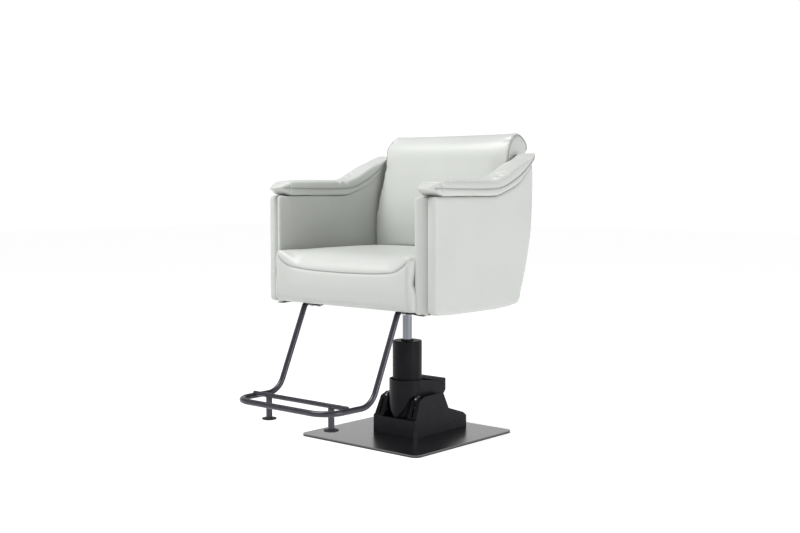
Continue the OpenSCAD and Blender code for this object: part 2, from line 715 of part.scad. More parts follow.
module clamp_bolts() {
  color("#8a8a8e") at_clamp_bolts() translate([0, 0, hang_z - tube_r - 3 - 4]) {
    cylinder(d = 10, h = 4, $fn = 6);
    cylinder(d = clamp_bolt_d, h = 4 + 3 + tube_d + sheet_t + board_t - 4);
  }
}

base_plate();
base_bolts();
pump_housing();
cylinder_tube();
reservoir_tube();
rod_guide();
rod_seal();
wiper_ring();
column_sleeve();
lower_cover();
cover_screws();
pivot_bracket();
pivot_pins();
release_valve();
plunger_spring();
pump_plunger();
pump_pedal();
pedal_tread();
pedal_cam();
tread_screws();
piston_rod();
piston_head();
piston_ring();
swivel_socket();
thrust_washer();
seat_plate();
plate_bolts();
seat_board();
dust_cover();
seat_cushion();
back_cushion();
back_frame();
back_shell();
arm_shell(-1);  // arm_shell_left
arm_shell(1);  // arm_shell_right
arm_liner(-1);  // arm_liner_left
arm_liner(1);  // arm_liner_right
arm_frame(-1);  // arm_frame_left
arm_frame(1);  // arm_frame_right
armrest_pad(-1);  // armrest_pad_left
armrest_pad(1);  // armrest_pad_right
frame_bolts();
footrest_tube();
footrest_crossbar();
footrest_legs();
footrest_feet();
footrest_clamps();
clamp_bolts();
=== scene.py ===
import json
import math

import bpy
import numpy as np
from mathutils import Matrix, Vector
from mathutils.bvhtree import BVHTree


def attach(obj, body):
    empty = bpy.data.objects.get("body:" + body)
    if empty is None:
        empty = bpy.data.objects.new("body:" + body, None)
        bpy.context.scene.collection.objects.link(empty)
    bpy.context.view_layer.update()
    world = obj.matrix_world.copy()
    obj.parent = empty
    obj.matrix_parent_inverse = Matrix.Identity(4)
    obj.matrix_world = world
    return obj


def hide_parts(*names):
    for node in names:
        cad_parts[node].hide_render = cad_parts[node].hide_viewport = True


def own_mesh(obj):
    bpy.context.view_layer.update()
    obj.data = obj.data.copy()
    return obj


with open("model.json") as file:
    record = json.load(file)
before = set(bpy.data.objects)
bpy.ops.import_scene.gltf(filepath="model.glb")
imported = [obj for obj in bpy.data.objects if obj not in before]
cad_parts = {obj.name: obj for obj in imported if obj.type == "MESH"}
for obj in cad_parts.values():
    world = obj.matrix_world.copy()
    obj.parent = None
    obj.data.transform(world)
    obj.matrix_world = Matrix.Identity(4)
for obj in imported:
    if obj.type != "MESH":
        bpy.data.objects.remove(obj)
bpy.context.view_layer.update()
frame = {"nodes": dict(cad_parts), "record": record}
bpy.ops.object.select_all(action="DESELECT")
scene = bpy.context.scene
nodes = frame["nodes"]
print("frame loaded:", len(nodes), "nodes")


# Small tools

def pick(obj):
    bpy.ops.object.select_all(action="DESELECT")
    obj.select_set(True)
    bpy.context.view_layer.objects.active = obj


def applyModifier(obj, kind, **values):
    pick(obj)
    modifier = obj.modifiers.new(kind.title(), kind)
    for key, value in values.items():
        setattr(modifier, key, value)
    bpy.ops.object.modifier_apply(modifier=modifier.name)


def readPoints(obj):
    points = np.zeros(len(obj.data.vertices) * 3, np.float32)
    obj.data.vertices.foreach_get("co", points)
    return points.reshape(-1, 3).astype(float)


def writePoints(obj, points):
    obj.data.vertices.foreach_set("co", points.astype(np.float32).ravel())
    obj.data.update()


def readNormals(obj):
    normals = np.zeros(len(obj.data.vertices) * 3, np.float32)
    obj.data.vertices.foreach_get("normal", normals)
    return normals.reshape(-1, 3).astype(float)


def copyOfNode(nodeName, name):
    # A merged copy of a CAD node's mesh, ready to be shaped
    obj = bpy.data.objects.new(name, nodes[nodeName].data.copy())
    scene.collection.objects.link(obj)
    obj.data.materials.clear()
    pick(obj)
    if obj.data.has_custom_normals:
        bpy.ops.mesh.customdata_custom_splitnormals_clear()
    bpy.ops.object.mode_set(mode="EDIT")
    bpy.ops.mesh.select_all(action="SELECT")
    bpy.ops.mesh.remove_doubles(threshold=0.00002)
    bpy.ops.mesh.tris_convert_to_quads()
    bpy.ops.object.mode_set(mode="OBJECT")
    return obj


def settle(obj, body, replaced, material):
    obj.data.materials.clear()
    obj.data.materials.append(material)
    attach(obj, body)
    if replaced:
        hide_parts(*replaced)
    return obj


def mirroredCopy(obj, name):
    other = bpy.data.objects.new(name, obj.data.copy())
    scene.collection.objects.link(other)
    points = readPoints(other)
    points[:, 0] *= -1
    writePoints(other, points)
    pick(other)
    bpy.ops.object.mode_set(mode="EDIT")
    bpy.ops.mesh.select_all(action="SELECT")
    bpy.ops.mesh.flip_normals()
    bpy.ops.object.mode_set(mode="OBJECT")
    return other


# Finishes

finishes = {
    "leatherColour": (0.505, 0.521, 0.499),
    "leatherShade": (0.478, 0.494, 0.472),
    # dark grey painted into the seam grooves as shade
    "seamShadeColour": (0.17, 0.18, 0.17),
    "grainPerMetre": 620,
    "blackPlastic": (0.0058, 0.0056, 0.0080),
    "gunmetal": (0.040, 0.039, 0.049),
}


def shaderOf(name):
    material = bpy.data.materials.new(name)
    material.use_nodes = True
    tree = material.node_tree
    return material, tree, tree.nodes["Principled BSDF"]


def addNode(tree, kind, **values):
    node = tree.nodes.new(kind)
    for key, value in values.items():
        if key in node.inputs:
            node.inputs[key].default_value = value
        else:
            setattr(node, key, value)
    return node


def addCoordinates(tree):
    return addNode(tree, "ShaderNodeTexCoord").outputs["Object"]


def addBump(tree, shader, heights, distance):
    # Several (output, strength) heights stacked into one normal
    normal = None
    for output, strength in heights:
        bump = addNode(tree, "ShaderNodeBump")
        bump.inputs["Strength"].default_value = strength
        bump.inputs["Distance"].default_value = distance
        tree.links.new(output, bump.inputs["Height"])
        if normal:
            tree.links.new(normal, bump.inputs["Normal"])
        normal = bump.outputs["Normal"]
    tree.links.new(normal, shader.inputs["Normal"])


def addNoise(tree, place, scale, detail=3.0):
    noise = addNode(tree, "ShaderNodeTexNoise")
    noise.inputs["Scale"].default_value = scale
    noise.inputs["Detail"].default_value = detail
    tree.links.new(place, noise.inputs["Vector"])
    return noise.outputs["Fac"]


def addBlend(tree, amount, first, second, low=0.3, high=0.7):
    ramp = addNode(tree, "ShaderNodeValToRGB")
    ramp.color_ramp.elements[0].position = low
    ramp.color_ramp.elements[1].position = high
    ramp.color_ramp.elements[0].color = (*first, 1)
    ramp.color_ramp.elements[1].color = (*second, 1)
    tree.links.new(amount, ramp.inputs["Fac"])
    return ramp.outputs["Color"]


def addRange(tree, amount, low, high):
    ranged = addNode(tree, "ShaderNodeMapRange")
    ranged.inputs["To Min"].default_value = low
    ranged.inputs["To Max"].default_value = high
    tree.links.new(amount, ranged.inputs["Value"])
    return ranged.outputs["Result"]


def makeLeather(name, roughness):
    material, tree, shader = shaderOf(name)
    place = addCoordinates(tree)
    tone = addBlend(tree, addNoise(tree, place, 5.5), finishes["leatherColour"], finishes["leatherShade"])
    # painted shade: the seam mark darkens the leather towards a dark grey along the sewn grooves
    seam = addNode(tree, "ShaderNodeAttribute", attribute_name="seam")
    mix = addNode(tree, "ShaderNodeMix", data_type="RGBA")
    tree.links.new(seam.outputs["Fac"], mix.inputs["Factor"])
    tree.links.new(tone, mix.inputs[6])
    mix.inputs[7].default_value = (*finishes["seamShadeColour"], 1)
    tree.links.new(mix.outputs[2], shader.inputs["Base Color"])
    pores = addNode(tree, "ShaderNodeTexVoronoi", feature="SMOOTH_F1")
    pores.inputs["Scale"].default_value = finishes["grainPerMetre"]
    tree.links.new(place, pores.inputs["Vector"])
    creases = addNoise(tree, place, 240, 5.0)
    hand = addNoise(tree, place, 28, 2.0)
    addBump(tree, shader, [(pores.outputs["Distance"], 0.10), (creases, 0.10), (hand, 0.25)], 0.0004)
    wear = addRange(tree, addNoise(tree, place, 14), roughness - 0.05, roughness + 0.06)
    tree.links.new(wear, shader.inputs["Roughness"])
    shader.inputs["Specular IOR Level"].default_value = 0.45
    shader.inputs["Sheen Weight"].default_value = 0.12
    shader.inputs["Sheen Roughness"].default_value = 0.4
    return material


def makePlastic(name, colour, roughness, grain=900, strength=0.06, specular=0.22):
    material, tree, shader = shaderOf(name)
    place = addCoordinates(tree)
    lighter = tuple(1.35 * c + 0.002 for c in colour)
    tree.links.new(addBlend(tree, addNoise(tree, place, 24), colour, lighter), shader.inputs["Base Color"])
    stipple = addNoise(tree, place, grain, 2.0)
    addBump(tree, shader, [(stipple, strength)], 0.0003)
    rough = addRange(tree, addNoise(tree, place, 60), roughness - 0.04, roughness + 0.06)
    tree.links.new(rough, shader.inputs["Roughness"])
    shader.inputs["Specular IOR Level"].default_value = specular
    return material


def makeMetal(name, colour, roughness, grain=300, metallic=1.0, strength=0.04, stretch=(1, 1, 1)):
    material, tree, shader = shaderOf(name)
    place = addNode(tree, "ShaderNodeMapping")
    place.inputs["Scale"].default_value = stretch
    tree.links.new(addCoordinates(tree), place.inputs["Vector"])
    place = place.outputs["Vector"]
    lighter = tuple(min(1.0, 1.2 * c + 0.004) for c in colour)
    tree.links.new(addBlend(tree, addNoise(tree, place, 30), colour, lighter), shader.inputs["Base Color"])
    addBump(tree, shader, [(addNoise(tree, place, grain, 2.0), strength)], 0.0002)
    rough = addRange(tree, addNoise(tree, place, 80), max(0.03, roughness - 0.04), roughness + 0.05)
    tree.links.new(rough, shader.inputs["Roughness"])
    shader.inputs["Metallic"].default_value = metallic
    return material


def makeGlossPlate(name):
    # Black steel under a glossy coat: dark from above, bright where it mirrors at a low angle
    material, tree, shader = shaderOf(name)
    place = addCoordinates(tree)
    tone = addBlend(tree, addNoise(tree, place, 9), (0.0050, 0.0050, 0.0060), (0.0075, 0.0075, 0.0090))
    tree.links.new(tone, shader.inputs["Base Color"])
    addBump(tree, shader, [(addNoise(tree, place, 900, 2.0), 0.02)], 0.0002)
    rough = addRange(tree, addNoise(tree, place, 40), 0.28, 0.34)
    tree.links.new(rough, shader.inputs["Roughness"])
    # the cut rim has no coat and hardly shines
    rim = addNode(tree, "ShaderNodeAttribute", attribute_name="rim").outputs["Fac"]
    tree.links.new(addRange(tree, rim, 0.5, 0.08), shader.inputs["Specular IOR Level"])
    tree.links.new(addRange(tree, rim, 1.0, 0.0), shader.inputs["Coat Weight"])
    shader.inputs["Coat Roughness"].default_value = 0.25
    shader.inputs["Coat IOR"].default_value = 1.9
    return material


def makeShadeDarkWood(name):
    # painted shade: the plywood is tinted almost black, so that the frame showing in the gaps between the
    # leather parts reads as shade
    material, tree, shader = shaderOf(name)
    stretched = addNode(tree, "ShaderNodeMapping")
    stretched.inputs["Scale"].default_value = (14, 2, 90)
    tree.links.new(addCoordinates(tree), stretched.inputs["Vector"])
    grain = addNoise(tree, stretched.outputs["Vector"], 3.0, 6.0)
    tone = addBlend(tree, grain, (0.020, 0.016, 0.012), (0.034, 0.027, 0.020))
    tree.links.new(tone, shader.inputs["Base Color"])
    addBump(tree, shader, [(grain, 0.15)], 0.0004)
    shader.inputs["Roughness"].default_value = 0.6
    return material


looks = {
    "seat_leather": makeLeather("seatLeather", 0.40),
    "shell_leather": makeLeather("shellLeather", 0.43),
    "plate_black": makeGlossPlate("glossBlackPlate"),
    "cover_black": makePlastic("mouldedBlack", finishes["blackPlastic"], 0.33, 900, 0.06, 0.15),
    "pedal_black": makePlastic("pedalBlack", finishes["blackPlastic"], 0.36, 900, 0.06, 0.13),
    "tread_black": makePlastic("treadBlack", finishes["blackPlastic"], 0.55, 500, 0.2),
    "sleeve_black": makePlastic("sleeveBlack", (0.006, 0.006, 0.008), 0.38, 900, 0.04, 0.10),
    "seal_black": makePlastic("sealRubber", (0.014, 0.014, 0.015), 0.6, 700, 0.15),
    "foot_rubber": makePlastic("footRubber", (0.016, 0.016, 0.018), 0.5, 700, 0.15),
    "lining_black": makePlastic("dustLining", (0.012, 0.012, 0.013), 0.85, 1500, 0.4),
    "screw_black": makeMetal("blackScrew", (0.03, 0.03, 0.032), 0.4),
    "footrest_grey": makeMetal("gunmetalCoat", finishes["gunmetal"], 0.30, 600, 0.5),
    "rod_chrome": makeMetal("hardChrome", (0.20, 0.205, 0.23), 0.13, 200, 1.0, 0.015, (1, 1, 0.1)),
    "bolt_zinc": makeMetal("zincBolt", (0.55, 0.56, 0.58), 0.35),
    "tube_steel": makeMetal("turnedSteel", (0.42, 0.42, 0.44), 0.32, 500),
    "pump_iron": makeMetal("paintedIron", (0.05, 0.05, 0.055), 0.5, 260, 0.3, 0.3),
    "seat_steel": makeMetal("blackSteel", (0.03, 0.03, 0.034), 0.42, 400, 0.5),
    "spring_steel": makeMetal("springSteel", (0.45, 0.45, 0.47), 0.3),
    "brass": makeMetal("brassFitting", (0.72, 0.50, 0.20), 0.28),
    "plywood": makeShadeDarkWood("plywood"),
}
# painted shade: the welt cords are dark grey so that each seam shows as a shaded line
seamShadeCord = makePlastic("seamCord", (0.250, 0.258, 0.248), 0.6, 1200, 0.2)
for row in frame["record"]["subparts"]:
    mesh = nodes[row["node"]].data
    mesh.materials.clear()
    mesh.materials.append(looks[row["material_slot"]])
print("finishes made:", len(looks))


# Shaping leather

def softenedCopy(nodeName, name, voxel, rounds):
    # The CAD solid as an even quad skin with its edges rounded off
    obj = copyOfNode(nodeName, name)
    applyModifier(obj, "REMESH", mode="VOXEL", voxel_size=voxel)
    applyModifier(obj, "SMOOTH", factor=0.5, iterations=rounds)
    return obj


def roundOff(points, a, b, centreA, centreB, radius, where=None):
    # Turns the square corner beyond (centreA, centreB) into an arc; a negative centre works on the other side
    signA, signB = math.copysign(1, centreA), math.copysign(1, centreB)
    u = (points[:, a] * signA - abs(centreA)) / radius
    v = (points[:, b] * signB - abs(centreB)) / radius
    inside = (u > 0) & (v > 0)
    if where is not None:
        inside &= where
    biggest = np.maximum(u[inside], v[inside])
    shrink = biggest / np.maximum(np.hypot(u[inside], v[inside]), 1e-9)
    points[inside, a] = signA * (abs(centreA) + radius * u[inside] * shrink)
    points[inside, b] = signB * (abs(centreB) + radius * v[inside] * shrink)


def ramp(values, start, end):
    t = np.clip((values - start) / (end - start), 0, 1)
    return t * t * (3 - 2 * t)


def evened(obj, moves, rounds):
    # Each point's move averaged with its neighbours' moves, so that no dent is left
    ends = np.zeros(len(obj.data.edges) * 2, np.int32)
    obj.data.edges.foreach_get("vertices", ends)
    a, b = ends.reshape(-1, 2).T
    count = np.maximum(np.bincount(np.concatenate([a, b]), minlength=len(moves)), 1)
    for _ in range(rounds):
        for axis in range(3):
            along = moves[:, axis]
            around = np.bincount(a, along[b], len(moves)) + np.bincount(b, along[a], len(moves))
            moves[:, axis] = 0.5 * along + 0.5 * around / count
    return moves


def puff(obj, cap, hold=None, ease=4, spread=40, pressure=4.0):
    # Swells the skin as stuffed leather with Cloth under pressure, and keeps each point within cap
    rest = readPoints(obj)
    cloth = obj.modifiers.new("Puff", "CLOTH")
    cloth.settings.quality = 4
    cloth.settings.use_pressure = True
    cloth.settings.uniform_pressure_force = pressure
    cloth.settings.effector_weights.gravity = 0
    cloth.point_cache.frame_start = 1
    cloth.point_cache.frame_end = 20
    for step in range(1, 21):
        scene.frame_set(step)
    shown = obj.evaluated_get(bpy.context.evaluated_depsgraph_get())
    moved = np.zeros(len(shown.data.vertices) * 3, np.float32)
    shown.data.vertices.foreach_get("co", moved)
    obj.modifiers.remove(cloth)
    scene.frame_set(1)
    travel = moved.reshape(-1, 3).astype(float) - rest
    length = np.maximum(np.linalg.norm(travel, axis=1), 1e-9)
    share = cap * np.tanh(length / cap) / length
    if hold is not None:
        share *= hold(rest)
    writePoints(obj, rest + evened(obj, travel * share[:, None], spread))
    applyModifier(obj, "SMOOTH", factor=0.5, iterations=ease)


def finishSkin(obj, levels=1):
    applyModifier(obj, "SUBSURF", levels=levels, render_levels=levels)
    pick(obj)
    bpy.ops.object.shade_smooth()


def skinOf(obj):
    return BVHTree.FromPolygons([v.co for v in obj.data.vertices], [p.vertices[:] for p in obj.data.polygons])


def evenPath(corners, step):
    # A smooth path through the corners with points about a step apart
    p = np.array([corners[0], *corners, corners[-1]], float)
    found = []
    for k in range(1, len(p) - 2):
        a, b, c, d = p[k - 1], p[k], p[k + 1], p[k + 2]
        count = max(2, int(np.linalg.norm(c - b) / step))
        for t in np.arange(count) / count:
            found.append(0.5 * (2 * b + (c - a) * t + (2 * a - 5 * b + 4 * c - d) * t * t
                                + (3 * b - a - 3 * c + d) * t ** 3))
    return np.array([*found, p[-1]])


def laidOn(obj, path, rounds=4):
    # The path dropped onto the nearest place of the skin, then eased
    tree = skinOf(obj)
    laid = np.array([tree.find_nearest(Vector(q))[0][:] for q in path])
    for _ in range(rounds):
        laid[1:-1] = 0.25 * laid[:-2] + 0.5 * laid[1:-1] + 0.25 * laid[2:]
    return laid


def castOn(obj, path, direction, rounds=4):
    # The path thrown onto the skin along one direction; what misses is left out
    tree = skinOf(obj)
    hits = [tree.ray_cast(Vector(q), Vector(direction))[0] for q in path]
    laid = np.array([hit[:] for hit in hits if hit is not None])
    for _ in range(rounds):
        laid[1:-1] = 0.25 * laid[:-2] + 0.5 * laid[1:-1] + 0.25 * laid[2:]
    return laid


def distanceTo(points, path):
    best = np.full(len(points), 1.0)
    low, high = path.min(0) - 0.03, path.max(0) + 0.03
    near = np.all((points > low) & (points < high), axis=1)
    close = points[near]
    found = np.full(len(close), 1.0)
    for a, b in zip(path[:-1], path[1:]):
        ab = b - a
        t = np.clip(((close - a) @ ab) / max(ab @ ab, 1e-12), 0, 1)
        found = np.minimum(found, np.linalg.norm(close - a - t[:, None] * ab, axis=1))
    best[near] = found
    return best


def sewSeam(obj, path, depth=0.0022, width=0.0045, dark=0.55):
    # A sewn line: the skin dips towards it, and the dip is marked with painted shade, which darkens the
    # leather along the groove
    points, normals = readPoints(obj), readNormals(obj)
    away = distanceTo(points, path)
    writePoints(obj, points - normals * (depth * np.exp(-(away / width) ** 2))[:, None])
    marks = obj.data.attributes.get("seam") or obj.data.attributes.new("seam", "FLOAT", "POINT")
    old = np.zeros(len(points), np.float32)
    marks.data.foreach_get("value", old)
    seamShadeMark = dark * np.exp(-(away / (0.55 * width)) ** 2)
    marks.data.foreach_set("value", np.maximum(old, seamShadeMark).astype(np.float32))


def cordAlong(name, path, radius, body, material):
    # A thin welt sewn into a seam, as a round tube; the dark grey cord material given to it paints the seam's
    # shade line
    curve = bpy.data.curves.new(name, "CURVE")
    curve.dimensions = "3D"
    curve.bevel_depth = radius
    curve.bevel_resolution = 2
    curve.use_fill_caps = True
    line = curve.splines.new("POLY")
    line.points.add(len(path) - 1)
    for point, place in zip(line.points, path):
        point.co = (*place, 1)
    obj = bpy.data.objects.new(name, curve)
    scene.collection.objects.link(obj)
    pick(obj)
    bpy.ops.object.convert(target="MESH")
    bpy.ops.object.shade_smooth()
    return settle(obj, body, [], material)


def joined(name, pieces):
    bpy.ops.object.select_all(action="DESELECT")
    for piece in pieces:
        piece.select_set(True)
    bpy.context.view_layer.objects.active = pieces[0]
    bpy.ops.object.join()
    pieces[0].name = name
    return pieces[0]


# Seat cushion

seat = {
    "halfWidth": 0.2557,
    "front": -0.294,
    "cap": 0.0045,
    "voxel": 0.006,
    "rounds": 5,
    "seamCut": (0.0022, 0.0050, 0.22),
    "sideCut": (0.0014, 0.0040, 0.20),
    "cornerRound": 0.011,
    "lowerRound": 0.034,
    "lowerCentre": -0.442,
    "lip": 0.008,
    "seam": [(0.0, 0.4990), (0.050, 0.4995), (0.117, 0.5010), (0.170, 0.5045), (0.205, 0.5105),
             (0.223, 0.5190), (0.240, 0.5310), (0.250, 0.5400), (0.2600, 0.5480)],
    "sideSeam": 0.2475,
    "rollDepths": [0.120, 0.208, 0.234, 0.259, 0.276, 0.288, 0.294],
    "rollDrops": [0.0, 0.003, 0.007, 0.017, 0.028, 0.043, 0.052],
}


def seatForm(points):
    x, y, z = points.T
    front = y < -0.235
    corner, lower = seat["cornerRound"], seat["lowerRound"]
    for side in (-1, 1):
        roundOff(points, 0, 1, side * (seat["halfWidth"] - corner), seat["front"] + corner, corner)
    for side in (-1, 1):
        # a soft lower corner at the front; z is measured downwards from the board
        flipped = points.copy()
        flipped[:, 2] *= -1
        roundOff(flipped, 0, 2, side * (seat["halfWidth"] - lower), seat["lowerCentre"], lower, front)
        points[:, :2] = flipped[:, :2]
        points[:, 2] = -flipped[:, 2]
    edge = ramp(np.abs(x), 0.16, 0.256)
    points[:, 2] -= (0.008 + 0.002 * edge) * ramp(z, 0.50, 0.55)
    # the front rolls down in the middle only: towards the arms the top runs level to the corners
    drop = np.interp(-y, seat["rollDepths"], seat["rollDrops"])
    points[:, 2] += drop * ramp(np.abs(x), 0.165, 0.248) * ramp(z, 0.435, 0.500)
    points[:, 2] -= 0.006 * ramp(-y, 0.24, 0.265) * ramp(-z, -0.44, -0.415)
    lip = ramp(-y, 0.246, 0.270) * ramp(np.abs(x), 0.20, 0.25)
    points[:, 0] += np.sign(x) * seat["lip"] * lip


cushion = softenedCopy("seat_cushion", "seatCushion", seat["voxel"], seat["rounds"])
points = readPoints(cushion)
seatForm(points)
writePoints(cushion, points)


def seatHold(p):
    # free over the top and the front, held by the board, the arms and the back cushion
    sides = 1 - 0.75 * ramp(np.abs(p[:, 0]), 0.225, 0.252)
    return ramp(p[:, 2], 0.405, 0.47) * sides * (1 - 0.8 * ramp(p[:, 1], 0.02, 0.14))


puff(cushion, seat["cap"], seatHold)
finishSkin(cushion)
halfSeam = [(x, -0.40, z) for x, z in seat["seam"]]
wholeSeam = [(-x, y, z) for x, y, z in halfSeam[:0:-1]] + halfSeam
seamPath = castOn(cushion, evenPath(wholeSeam, 0.004), (0, 1, 0))
sewSeam(cushion, seamPath, *seat["seamCut"])
sunkPath = seamPath + np.array([0, 0.0016, 0])
welts = [cordAlong("seatSeam", sunkPath, 0.0008, "seat", seamShadeCord)]
for side in (-1, 1):
    line = [(side * seat["sideSeam"], -0.40, z) for z in np.linspace(0.412, 0.526, 30)]
    sideLine = castOn(cushion, np.array(line), (0, 1, 0))
    sewSeam(cushion, sideLine, *seat["sideCut"])
settle(cushion, "seat", ["seat_cushion"], looks["seat_leather"])
print("seat cushion")


# Back cushion

back = {
    "halfTop": 0.240,
    "top": 0.8945,
    "topRound": 0.036,
    "cap": 0.012,
    "voxel": 0.006,
    "rounds": 6,
    "panelX": 0.2375,
    "seamCut": (0.0020, 0.0042, 0.22),
    "panel": [(0.171, 0.788), (0.174, 0.812), (0.180, 0.846), (0.192, 0.872), (0.222, 0.889), (0.250, 0.880),
              (0.264, 0.860), (0.264, 0.842)],
}


def backForm(points):
    x, y, z = points.T
    corner = back["topRound"]
    for side in (-1, 1):
        roundOff(points, 0, 2, side * (back["halfTop"] - corner), back["top"] - corner, corner, y < 0.20)
    crown = 1 - (np.abs(x) / 0.256) ** 2.4
    points[:, 1] -= 0.006 * crown * ramp(-y, -0.20, -0.17)
    points[:, 2] -= 0.022 * ramp(-z, -0.61, -0.57)
    points[:, 2] -= 0.006 * ramp(y, 0.19, 0.21) * ramp(-z, -0.85, -0.835) * ramp(z, 0.815, 0.828)


backrest = softenedCopy("back_cushion", "backCushion", back["voxel"], back["rounds"])
points = readPoints(backrest)
backForm(points)
writePoints(backrest, points)


def backHold(p):
    # the swelling fades towards the sides, whose width narrows with height
    halfWidth = np.interp(p[:, 2], [0.62, 0.7945], [0.2557, back["halfTop"]])
    rear = 1 - 0.7 * ramp(p[:, 1], 0.19, 0.21) * ramp(-p[:, 2], -0.84, -0.82)
    return rear * (1 - 0.9 * ramp(np.abs(p[:, 0]) / halfWidth, 0.84, 0.975))


puff(backrest, back["cap"], backHold)
finishSkin(backrest)
for side in (-1, 1):
    panelLine = evenPath([(side * back["panelX"], y, z) for y, z in back["panel"]], 0.004)
    panelPath = laidOn(backrest, panelLine, 6)
    sewSeam(backrest, panelPath, *back["seamCut"])
    welts.append(cordAlong("rollSeam" + str(side), panelPath, 0.0009, "seat", seamShadeCord))
settle(backrest, "seat", ["back_cushion"], looks["seat_leather"])
print("back cushion")


# Arms: outer shell, inner liner with the front panel, and armrest pad

arm = {
    "inner": 0.256,
    "seamX": 0.284,
    "outer": 0.318,
    "padCap": 0.007,
    "padMiddle": 0.2835,
    "padSeamCut": (0.0018, 0.0036, 0.22),
    "ringCut": (0.0022, 0.0040, 0.25),
    "foldGain": 1.5,
    "rearRound": 0.042,
    "rearHeights": [0.4345, 0.4945, 0.5545, 0.6145, 0.6745, 0.7395],
    "rearDepths": [0.150, 0.171, 0.187, 0.203, 0.212, 0.217],
    "padSeam": [(-0.262, 0.7300), (-0.248, 0.7310), (-0.151, 0.7290), (-0.040, 0.7290), (0.029, 0.7330),
                (0.076, 0.7480), (0.125, 0.7710), (0.175, 0.8040), (0.204, 0.8260)],
}


def swell(points, normals, amount, a, b, lowA, highA, lowB, highB, where):
    # A panel's slight crown, fullest in the middle of its rectangle
    u = np.clip((points[:, a] - lowA) / (highA - lowA), 0, 1)
    v = np.clip((points[:, b] - lowB) / (highB - lowB), 0, 1)
    height = amount * (np.sin(math.pi * u) * np.sin(math.pi * v)) ** 0.6
    return points + normals * (height * where)[:, None]


def makeShell():
    obj = softenedCopy("arm_shell_right", "armShellRight", 0.005, 6)
    points = readPoints(obj)
    x, y, z = points.T
    # the rear turns in to the back with a wide round corner, and the lower edge lifts a little at both ends
    rear = np.interp(z, arm["rearHeights"], arm["rearDepths"])
    across = (x - arm["seamX"]) / (arm["outer"] - arm["seamX"])
    along = (y - (rear - arm["rearRound"])) / arm["rearRound"]
    turn = (across > 0) & (along > 0)
    shrink = np.maximum(across, along)[turn] / np.hypot(across, along)[turn]
    points[turn, 0] = arm["seamX"] + (arm["outer"] - arm["seamX"]) * across[turn] * shrink
    points[turn, 1] = (rear - arm["rearRound"])[turn] + arm["rearRound"] * along[turn] * shrink
    points[:, 2] += 0.004 * (ramp(-y, 0.16, 0.28) + ramp(y, 0.0, 0.09)) * ramp(-z, -0.46, -0.40)
    # its front edge meets the front panel in a closed crease
    points[:, 0] -= 0.0042 * ramp(-y, 0.215, 0.238) * ramp(-x, -0.300, -0.286)
    points[:, 1] -= 0.012 * ramp(-y, 0.190, 0.236) * ramp(x, 0.2835, 0.2895)
    writePoints(obj, points)
    normals = readNormals(obj)
    outwards = normals[:, 0] > 0.6
    writePoints(obj, swell(points, normals, 0.0035, 1, 2, -0.25, 0.22, 0.39, 0.78, outwards))
    finishSkin(obj)
    return obj


def makeLiner():
    obj = softenedCopy("arm_liner_right", "armLinerRight", 0.0045, 5)
    points = readPoints(obj)
    x, y, _ = points.T
    points[:, 0] += 0.0030 * ramp(-y, 0.225, 0.240) * ramp(x, 0.272, 0.281)
    points[:, 1] -= 0.0020 * ramp(-y, 0.255, 0.266)
    writePoints(obj, points)
    normals = readNormals(obj)
    inwards = normals[:, 0] < -0.6
    writePoints(obj, swell(points, normals, 0.0008, 1, 2, -0.25, 0.20, 0.43, 0.75, inwards))
    finishSkin(obj)
    return obj


def padForm(points):
    x, y, z = points.T
    middle = arm["padMiddle"]
    # the front narrows to a blunt nose and slopes under
    nose = ramp(-y, 0.215, 0.288)
    points[:, 0] = middle + (x - middle) * (1 - 0.48 * nose ** 1.5)
    points[:, 2] += 0.021 * ramp(-y, 0.218, 0.284) * ramp(0.745 - z, 0.0, 0.03)
    points[:, 2] += 0.004 * ramp(y, 0.16, 0.21)
    points[:, 1] -= 0.002 * ramp(-y, 0.255, 0.285)
    # a slanted facet from the top down to the tip
    slope = ramp(-y, 0.225, 0.286) * ramp(z, 0.722, 0.750)
    points[:, 2] -= 0.014 * slope


def padHold(p):
    # free above the underside, which climbs to the rear
    return ramp(p[:, 2] - np.interp(p[:, 1], [0, 0.217], [0.7095, 0.8215]), 0.0, 0.012)


def wrinkle(points, normals):
    # Folds where the pad bends upwards, and a few soft ones by the nose
    x, y, _ = points.T
    fold = np.zeros(len(points))
    for place, slant, height in [(-0.010, 0.55, 0.0016), (0.012, 0.35, 0.0020), (0.034, 0.75, 0.0017),
                                 (0.058, 0.50, 0.0013), (-0.205, -0.8, 0.0014), (-0.180, -0.5, 0.0010)]:
        height *= arm["foldGain"]
        line = y - place - slant * (x - arm["padMiddle"]) - 0.0015 * np.sin(x * 260)
        fold -= height * np.exp(-(line / 0.0045) ** 2)
        fold += 0.6 * height * np.exp(-((line - 0.009) / 0.006) ** 2)
    upper = ramp(normals[:, 2], -0.1, 0.5)
    fade = 0.55 + 0.45 * np.sin(x * 85 + y * 37)
    return points + normals * (fold * upper * fade)[:, None]


def makePad():
    obj = softenedCopy("armrest_pad_right", "armrestPadRight", 0.004, 6)
    points = readPoints(obj)
    padForm(points)
    writePoints(obj, points)
    puff(obj, arm["padCap"], padHold, 3)
    finishSkin(obj)
    writePoints(obj, wrinkle(readPoints(obj), readNormals(obj)))
    for across in (arm["inner"] - 0.012, arm["outer"] + 0.006):
        line = laidOn(obj, evenPath([(across, y, z) for y, z in arm["padSeam"]], 0.004), 6)
        sewSeam(obj, line, *arm["padSeamCut"])
        tag = "In" if across < arm["seamX"] else "Out"
        padSeams.append(cordAlong("padSeam" + tag, line, 0.0008, "seat", seamShadeCord))
    ring = [(0.2440, -0.238, 0.722), (0.2460, -0.240, 0.740), (0.2600, -0.246, 0.7500),
            (0.2835, -0.250, 0.7520), (0.3080, -0.246, 0.7500), (0.3200, -0.236, 0.738),
            (0.3210, -0.230, 0.722)]
    sewSeam(obj, laidOn(obj, evenPath(ring, 0.003), 3), *arm["ringCut"])
    return obj


